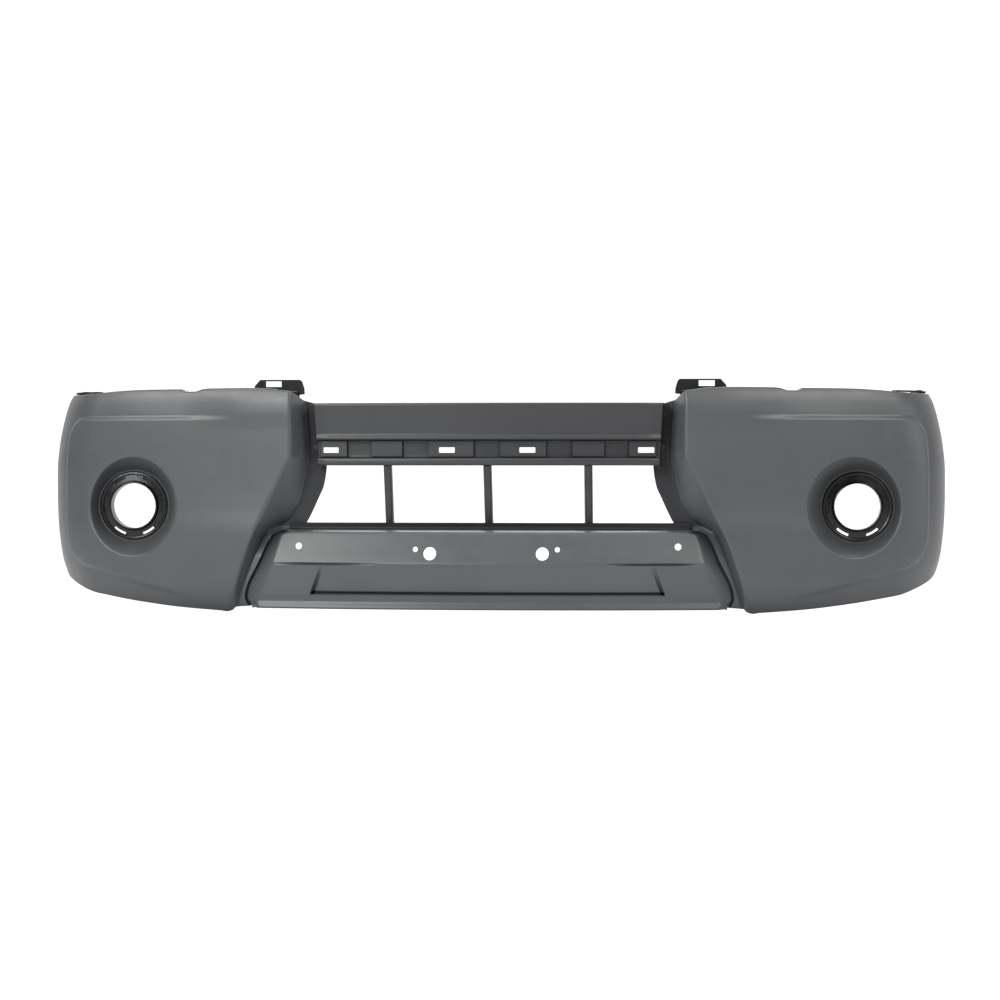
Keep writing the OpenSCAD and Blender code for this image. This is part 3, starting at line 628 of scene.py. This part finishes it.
def shell_mesh(name, g, keep=None):
    """Closed shell from a grid of outer points, thickened rearward; keep[i, j] says which cells it has."""
    m, n = g.shape[0], g.shape[1]
    if keep is None:
        keep = np.ones((m - 1, n - 1), bool)
    outer = g.reshape(-1, 3)
    inner = (g + grid_normals(g) * (WALL_T * MM)).reshape(-1, 3)
    k = m * n
    padded = np.zeros((m + 1, n + 1), bool)
    padded[1:-1, 1:-1] = keep
    faces = []
    for i in range(m - 1):
        for j in range(n - 1):
            if not keep[i, j]:
                continue
            a, b, c, d = i * n + j, (i + 1) * n + j, (i + 1) * n + j + 1, i * n + j + 1
            faces.append((a, b, c, d))
            faces.append((a + k, d + k, c + k, b + k))
            for near, p, q in ((padded[i + 1, j], a, b), (padded[i + 2, j + 1], b, c),
                               (padded[i + 1, j + 2], c, d), (padded[i, j + 1], d, a)):
                if not near:
                    faces.append((q, p, p + k, q + k))
    used = sorted({v for f in faces for v in f})
    place = {v: x for x, v in enumerate(used)}
    verts = np.vstack([outer, inner])[used]
    return new_object(name, verts, [tuple(place[v] for v in f) for f in faces])


def mirrored(obj, name):
    """The same piece on the other side of the vehicle."""
    mesh = obj.data.copy()
    mesh.name = name
    co = np.empty(len(mesh.vertices) * 3)
    mesh.vertices.foreach_get("co", co)
    co[0::3] *= -1
    mesh.vertices.foreach_set("co", co)
    mesh.flip_normals()
    return link(mesh, name)


def prism(name, outline, place, lo, hi):
    """Solid between lo and hi over a closed outline; place turns (u, v, w) into a point in millimetres."""
    n = len(outline)
    verts = [to_row(place(u, v, w)) for w in (lo, hi) for u, v in outline]
    faces = [tuple(range(n)), tuple(range(2 * n - 1, n - 1, -1))]
    faces += [(k, k + n, (k + 1) % n + n, (k + 1) % n) for k in range(n)]
    obj = new_object(name, verts, faces)
    bm = bmesh.new()
    bm.from_mesh(obj.data)
    bmesh.ops.recalc_face_normals(bm, faces=bm.faces)
    bm.to_mesh(obj.data)
    bm.free()
    return obj


def rounded_rect(u0, u1, v0, v1, r):
    out = []
    near_u, far_u, near_v, far_v = u0 + r, u1 - r, v0 + r, v1 - r
    for cu, cv, a0 in ((far_u, far_v, 0), (near_u, far_v, 90), (near_u, near_v, 180), (far_u, near_v, 270)):
        for k in range(CORNER_STEPS + 1):
            a = math.radians(a0 + 90 * k / CORNER_STEPS)
            out.append((cu + r * math.cos(a), cv + r * math.sin(a)))
    return out


def circle(cu, cv, r):
    turns = [2 * math.pi * k / CIRCLE_STEPS for k in range(CIRCLE_STEPS)]
    return [(cu + r * math.cos(a), cv + r * math.sin(a)) for a in turns]


def facing(x, z, d):
    """Place of a prism's point whose outline is seen from the front."""
    return (x, d, z)


def along_beam(x, z, d):
    """The same, with depths that follow the beam's plan."""
    return (x, d + sweep(x), z)


def cut(obj, cutters):
    """Subtracts solids, which then go away."""
    for tool in cutters:
        mod = obj.modifiers.new("cut", "BOOLEAN")
        mod.operation = "DIFFERENCE"
        mod.solver = "EXACT"
        mod.object = tool
    bpy.context.view_layer.update()
    baked = bpy.data.meshes.new_from_object(obj.evaluated_get(bpy.context.evaluated_depsgraph_get()))
    obj.modifiers.clear()
    obj.data = baked
    finish_mesh(baked)
    for tool in cutters:
        bpy.data.objects.remove(tool)
    return obj


def slot_cutter(x):
    half_x, half_z = SLOT_SIZE[0] / 2, SLOT_SIZE[1] / 2
    outline = rounded_rect(x - half_x, x + half_x, SLOT_Z - half_z, SLOT_Z + half_z, SLOT_CORNER_R)
    return prism("cutter", outline, facing, *SLOT_CUT)


def soften(obj, width=0.5):
    """Bevels the sharp edges by width millimetres."""
    mod = obj.modifiers.new("edge", "BEVEL")
    mod.width = width * MM
    mod.segments = 2
    mod.limit_method = "ANGLE"
    mod.angle_limit = math.radians(BEVEL_ANGLE)
    return obj


def wing_mesh():
    """The left wing's shell; the cells inside the seat's hole are left out."""
    i_stops = spaced([(0, 4), (FOOT_I, 6), (WALL_I, 6), (CREASE_I, 8), (FACE_I, 20), (BLOCK_I0, 54),
                      (BLOCK_I1, 34), (SIDE_I, 10), (ARCH_I, 6), (LIP_I, 0)])
    j_stops = spaced([(0, 2), (HEM_J, 6), (FACE_J0, 22), (BLOCK_J0, 54), (BLOCK_J1, 6), (PLATEAU_J0, 22),
                      (PLATEAU_J1, 16), (FACE_J1, 8), (TOP_J, 2), (TOP_J + 1, 0)])
    g = np.array([[to_row(wing_point(i, j)) for j in j_stops] for i in i_stops])
    ci = (np.array(i_stops)[1:] + np.array(i_stops)[:-1]) / 2
    cj = (np.array(j_stops)[1:] + np.array(j_stops)[:-1]) / 2
    keep = np.maximum(abs(ci[:, None] - MID_I), abs(cj[None, :] - MID_J)) > HOLE_RING
    return shell_mesh("wing_skin_left", g, keep)


def both_halves(rows, plan_of_row):
    """Grid over the whole width from rows that are known on the +X half."""
    grid = []
    for row in rows:
        half = plan_of_row(row)
        full = [p * np.array([-1, 1, 1]) for p in half[:0:-1]] + half
        grid.append([to_row(p) for p in full])
    return np.array(grid).transpose(1, 0, 2)


def numbered(rows):
    return [(d, z, j) for j, (d, z) in enumerate(rows)]


def beam_mesh():
    rows = soft_path(numbered(BEAM_ROWS), r=2.6, steps=4)
    obj = shell_mesh("beam_skin", both_halves(rows, beam_plan))
    return cut(obj, [slot_cutter(x) for x in SLOT_X + [-x for x in SLOT_X]])


def apron_mesh():
    rows = soft_path(numbered(APRON_ROWS), r=3.5, steps=4)
    obj = shell_mesh("apron_skin", both_halves(rows, apron_plan))
    cutters = []
    for x, z, r in PLATE_HOLES:
        for side in (1, -1):
            cutters.append(prism("cutter", circle(side * x, z, r), facing, *PLATE_CUT))
    return cut(obj, cutters)


# ---- materials ----
def node(nt, kind, **settings):
    """New node; a setting is an attribute of the node or else one of its inputs."""
    n = nt.nodes.new(kind)
    for key, value in settings.items():
        if hasattr(n, key):
            setattr(n, key, value)
        else:
            n.inputs[key].default_value = value
    return n


def noise(nt, scale, detail):
    """Noise in the object's own metres; scale is in cycles per metre."""
    coords = node(nt, "ShaderNodeTexCoord")
    tex = node(nt, "ShaderNodeTexNoise", Scale=scale, Detail=detail, Roughness=0.5)
    nt.links.new(coords.outputs["Object"], tex.inputs["Vector"])
    return tex.outputs["Fac"]


def spread(nt, source, lo, hi, a=0.3, b=0.7):
    """Maps a texture value from the range a..b to lo..hi."""
    m = node(nt, "ShaderNodeMapRange")
    for key, value in (("From Min", a), ("From Max", b), ("To Min", lo), ("To Max", hi)):
        m.inputs[key].default_value = value
    nt.links.new(source, m.inputs["Value"])
    return m.outputs["Result"]


def blend_colour(nt, fac, a, b):
    """Colour from a to b as fac goes from 0 to 1."""
    m = node(nt, "ShaderNodeMix", data_type="RGBA")
    m.inputs["A"].default_value = (*a, 1)
    m.inputs["B"].default_value = (*b, 1)
    nt.links.new(fac, m.inputs["Factor"])
    return m.outputs["Result"]


def bump(nt, shader, height, distance, after=None):
    """Bumps the shader's normal by a height in metres, on top of the bump that comes before it."""
    b = node(nt, "ShaderNodeBump", Strength=1.0, Distance=distance)
    nt.links.new(height, b.inputs["Height"])
    if after:
        nt.links.new(after.outputs["Normal"], b.inputs["Normal"])
    nt.links.new(b.outputs["Normal"], shader.inputs["Normal"])
    return b


def recess(nt, reach):
    """How open the surface is within reach metres: near 1 on the face, low in channels and grooves."""
    return node(nt, "ShaderNodeAmbientOcclusion", samples=8, Distance=reach).outputs["AO"]


def scaled(nt, colour, factor):
    scale = node(nt, "ShaderNodeVectorMath", operation="SCALE")
    nt.links.new(colour, scale.inputs["Vector"])
    nt.links.new(factor, scale.inputs["Scale"])
    return scale.outputs["Vector"]


def make_material(name, rough, specular=0.5, metal=0.0):
    mat = bpy.data.materials.new(name)
    mat.use_nodes = True
    shader = mat.node_tree.nodes["Principled BSDF"]
    shader.inputs["Roughness"].default_value = rough
    shader.inputs["Specular IOR Level"].default_value = specular
    shader.inputs["Metallic"].default_value = metal
    return mat, mat.node_tree, shader


def primer(name, tone, rough):
    """Satin primer: faint spray clouds, painted shade that darkens it and dims its specular in recesses,
    with orange peel and a dry grain.
    """
    mat, nt, shader = make_material(name, rough)
    dark, light = [c * 0.93 for c in tone], [c * 1.07 for c in tone]
    clouds = spread(nt, noise(nt, scale=5.0, detail=3), 0, 1)
    colour = blend_colour(nt, clouds, dark, light)
    # Painted shade: the colour darkens and the specular dims where ambient occlusion finds the surface
    # hemmed in
    openness = recess(nt, reach=0.09)
    occlusion_shade = spread(nt, openness, lo=0.5, hi=1, a=0.2, b=0.8)
    nt.links.new(scaled(nt, colour, occlusion_shade), shader.inputs["Base Color"])
    shine = spread(nt, openness, lo=0.2, hi=0.5, a=0.2, b=0.8)
    nt.links.new(shine, shader.inputs["Specular IOR Level"])
    patches = spread(nt, noise(nt, scale=40.0, detail=4), rough - 0.03, rough + 0.04)
    nt.links.new(patches, shader.inputs["Roughness"])
    peel = bump(nt, shader, noise(nt, scale=170.0, detail=1), distance=0.00003)
    bump(nt, shader, noise(nt, scale=1400.0, detail=2), distance=0.000012, after=peel)
    return mat


def black_plastic(name, tone, rough, grain, gloss=0.5):
    """Moulded black plastic with a fine spark grain, grain metres high, and a slightly rubbed tone."""
    mat, nt, shader = make_material(name, rough, gloss)
    dark, light = [c * 0.8 for c in tone], [c * 1.3 for c in tone]
    rubbed = spread(nt, noise(nt, scale=30.0, detail=4), 0, 1)
    nt.links.new(blend_colour(nt, rubbed, dark, light), shader.inputs["Base Color"])
    patches = spread(nt, noise(nt, scale=90.0, detail=3), rough - 0.05, rough + 0.07)
    nt.links.new(patches, shader.inputs["Roughness"])
    bump(nt, shader, noise(nt, scale=1100.0, detail=2), grain)
    return mat


def zinc(name):
    """Zinc plated steel: a cool metal with a blotchy passivated bloom."""
    mat, nt, shader = make_material(name, 0.35, metal=1.0)
    dull, bright = (0.45, 0.45, 0.44), (0.6, 0.61, 0.63)
    bloom = spread(nt, noise(nt, scale=300.0, detail=3), 0, 1)
    nt.links.new(blend_colour(nt, bloom, dull, bright), shader.inputs["Base Color"])
    patches = spread(nt, noise(nt, scale=500.0, detail=2), 0.28, 0.45)
    nt.links.new(patches, shader.inputs["Roughness"])
    return mat


WING_PRIMER = primer("wing_primer", (0.058, 0.060, 0.065), 0.40)
BEAM_PRIMER = primer("beam_primer", (0.027, 0.0275, 0.030), 0.42)
# Darker copy of the primer, which paints shade onto recessed faces
SHADE_PRIMER = primer("painted_shade_primer", (0.011, 0.0115, 0.0135), 0.55)
APRON_PRIMER = primer("apron_primer", (0.062, 0.065, 0.070), 0.38)
STRUT_BLACK = black_plastic("strut_black", (0.022, 0.022, 0.023), 0.3, 0.00002)
RING_BLACK = black_plastic("ring_black", (0.010, 0.010, 0.011), 0.27, 0.000008, 0.35)
BRACKET_BLACK = black_plastic("bracket_black", (0.006, 0.006, 0.0065), 0.6, 0.00005, 0.25)
RIVET_BLACK = black_plastic("rivet_black", (0.015, 0.015, 0.016), 0.4, 0.00002)
SCREW_ZINC = zinc("screw_zinc")


def place_piece(obj, material, nodes=(), shade_where=None):
    """Gives the piece its looks and body; faces where the given test of (x, depth, z) holds get the darker
    primer that paints shade.
    """
    obj.data.materials.clear()
    obj.data.materials.append(material)
    if shade_where:
        obj.data.materials.append(SHADE_PRIMER)
        for face in obj.data.polygons:
            x, y, z = face.center / MM
            face.material_index = int(shade_where(abs(x), y + DEPTH_MID, z))
    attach(obj, "root")
    if nodes:
        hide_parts(*nodes)


# Painted shade: a darker copy of the primer lies on the wing's floor above the raised strip, with a little
# of the wall's foot, and on the rear of the apron's ledge with its upstand, where these recesses fall in
# shade
SHADE_FLOOR_Z, SHADE_FOOT_X, SHADE_FOOT_DEPTH = 166, 1, 8
SHADE_LEDGE_Z = 160.5


def on_upper_floor(x, depth, z):
    return z > SHADE_FLOOR_Z and x < FOOT_X(z) + SHADE_FOOT_X and depth > FLOOR_DEPTH(z) - SHADE_FOOT_DEPTH


def on_ledge_end(x, depth, z):
    return z > SHADE_LEDGE_Z


# ---- pieces ----
wing_left = wing_mesh()
wing_right = mirrored(wing_left, "wing_skin_right")
for side, obj in (("left", wing_left), ("right", wing_right)):
    soften(obj)
    place_piece(obj, WING_PRIMER, ["wing_" + side], on_upper_floor)
place_piece(soften(beam_mesh()), BEAM_PRIMER, ["upper_beam"])
place_piece(soften(apron_mesh()), APRON_PRIMER, ["lower_apron"], on_ledge_end)

# The pads follow the beam's plan; some have a slot
PAD_EDGE, BOSS_EDGE = 0.6, 0.4
for word, side in (("left", 1), ("right", -1)):
    for k, (x0, x1) in enumerate(PAD_SPANS):
        outline = rounded_rect(*sorted((side * x0, side * x1)), *PAD_Z, PAD_CORNER_R)
        pad = prism("beam_pad_%s_%d" % (word, k + 1), outline, along_beam, *PAD_DEPTH)
        cut(pad, [slot_cutter(side * x) for x in SLOT_X if x0 < x < x1])
        place_piece(soften(pad, PAD_EDGE), BEAM_PRIMER)


def add_boss(name, x, z, r, lo, hi, material, slot):
    boss = prism(name, circle(x, z, r), facing, lo, hi)
    place_piece(soften(boss, BOSS_EDGE), material)


# Tabs and bosses of the shells, seen from behind only
for word, side in (("left", 1), ("right", -1)):
    for where, a in RING_BOSS_A.items():
        x = FOG[0] + RING_BOSS_AT_R * math.cos(math.radians(a))
        z = FOG[1] + RING_BOSS_AT_R * math.sin(math.radians(a))
        add_boss("ring_boss_%s_%s" % (word, where), side * x, z, RING_BOSS_R, *RING_BOSS_DEPTH,
                 WING_PRIMER, "wing_primer")
    tab = prism("bracket_tab_" + word, TAB_SECTION, lambda d, z, x: (side * x, d, z), *TAB_X)
    cut(tab, [prism("cutter", circle(side * x, z, TAB_HOLE_R), facing, *TAB_CUT) for x, z in TAB_RIVETS])
    place_piece(soften(tab, BOSS_EDGE), WING_PRIMER)
    for k, (x, z) in enumerate(BEAM_BOSSES):
        add_boss("beam_boss_%s_%d" % (word, k + 1), side * x, z, BEAM_BOSS_R, BEAM_BOSS_D, seam_front(z),
                 BEAM_PRIMER, "beam_primer")
    for k, (x, z) in enumerate(APRON_BOSSES):
        rear = seam_front(z)
        add_boss("apron_boss_%s_%d" % (word, k + 1), side * x, z, APRON_BOSS_R, rear - APRON_BOSS_T, rear,
                 APRON_PRIMER, "apron_primer")

# Looks of the CAD nodes that stay: the first start of a name that fits counts
CAD_LOOKS = {"strut": STRUT_BLACK, "fog_ring": RING_BLACK, "ring_screws": SCREW_ZINC,
             "seam_screws": SCREW_ZINC, "bracket_sleeves": RIVET_BLACK, "bracket_pin": RIVET_BLACK,
             "bracket": BRACKET_BLACK, "side_retainer": BRACKET_BLACK, "retainer": RIVET_BLACK}
for name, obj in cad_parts.items():
    for start, material in CAD_LOOKS.items():
        if name.startswith(start):
            obj.data.materials.clear()
            obj.data.materials.append(material)
            break

# ---- camera, light, floor: distances in metres, the focal length in millimetres ----
CAM_YAW, CAM_PITCH, CAM_DIST, CAM_LENS = math.radians(4.3), math.radians(1.0), 4.6, 81.9
CAM_TARGET = Vector((0.0096, 0.0, 0.2154))
towards = Vector((math.sin(CAM_YAW) * math.cos(CAM_PITCH), -math.cos(CAM_YAW) * math.cos(CAM_PITCH),
                  math.sin(CAM_PITCH)))
cam_data = bpy.data.cameras.new("camera")
cam_data.lens = CAM_LENS
cam = bpy.data.objects.new("camera", cam_data)
bpy.context.scene.collection.objects.link(cam)
cam.location = CAM_TARGET + towards * CAM_DIST
cam.rotation_mode = "QUATERNION"
cam.rotation_quaternion = (-towards).to_track_quat("-Z", "Y")
bpy.context.scene.camera = cam


def area_light(name, location, target, size, power, colour=(1, 1, 1)):
    data = bpy.data.lights.new(name, "AREA")
    data.shape = "RECTANGLE"
    data.size, data.size_y = size
    data.energy = power
    data.color = colour
    obj = bpy.data.objects.new(name, data)
    bpy.context.scene.collection.objects.link(obj)
    obj.location = location
    obj.rotation_mode = "QUATERNION"
    obj.rotation_quaternion = (Vector(target) - Vector(location)).to_track_quat("-Z", "Y")


def backdrop():
    """Pale floor that curves up into a wall behind the object."""
    half_w, near_y, bend_y, bend_r, wall_top = 9, -7, 2.5, 1.5, 7.0
    bend = [(bend_y + bend_r * math.sin(a), bend_r - bend_r * math.cos(a))
            for a in np.linspace(0, math.pi / 2, 24)]
    profile = [(near_y, 0)] + bend + [(bend_y + bend_r, wall_top)]
    verts = [(x, y, z) for y, z in profile for x in (-half_w, half_w)]
    faces = [(2 * k, 2 * k + 1, 2 * k + 3, 2 * k + 2) for k in range(len(profile) - 1)]
    obj = new_object("floor", verts, faces, sharp=80)
    mat, nt, shader = make_material("floor", 0.9, specular=0.1)
    shader.inputs["Base Color"].default_value = (0.25, 0.25, 0.25, 1)
    shader.inputs["Emission Color"].default_value = (1, 1, 1, 1)
    shader.inputs["Emission Strength"].default_value = 0.93
    obj.data.materials.append(mat)


backdrop()
OVERHEAD_TINT, FRONT_TINT = (1.0, 1.0, 0.94), (0.95, 0.985, 1.0)
# Name, place, target, size and power, in metres and watts, and for some a tint
LIGHTS = [
    ("overhead", (0.0, -0.6, 2.6), (0, 0, 0.2), (1.6, 1.2), 22),
    ("overhead_left", (-2.0, -1.4, 2.2), (-0.3, 0, 0.2), (1.6, 1.2), 54, OVERHEAD_TINT),
    ("overhead_right", (2.0, -1.4, 2.2), (0.3, 0, 0.2), (1.6, 1.2), 42, OVERHEAD_TINT),
    ("front_left", (-1.8, -3.6, 1.9), (0, 0, 0.2), (1.4, 1.2), 98, FRONT_TINT),
    ("front_right", (2.2, -3.6, 1.9), (0.3, 0, 0.2), (1.0, 1.2), 22),
    ("side_right", (3.2, -0.6, 0.9), (0, 0, 0.2), (1.2, 1.4), 13),
    ("back_high", (0.0, 2.8, 2.4), (0, 0, 0.3), (3.0, 1.2), 60),
]
for light in LIGHTS:
    area_light(*light)

world = bpy.data.worlds.new("studio")
world.use_nodes = True
background = world.node_tree.nodes["Background"]
background.inputs["Color"].default_value = (1, 1, 1, 1)
background.inputs["Strength"].default_value = 0.02
bpy.context.scene.world = world
bpy.context.scene.view_settings.view_transform = "Standard"
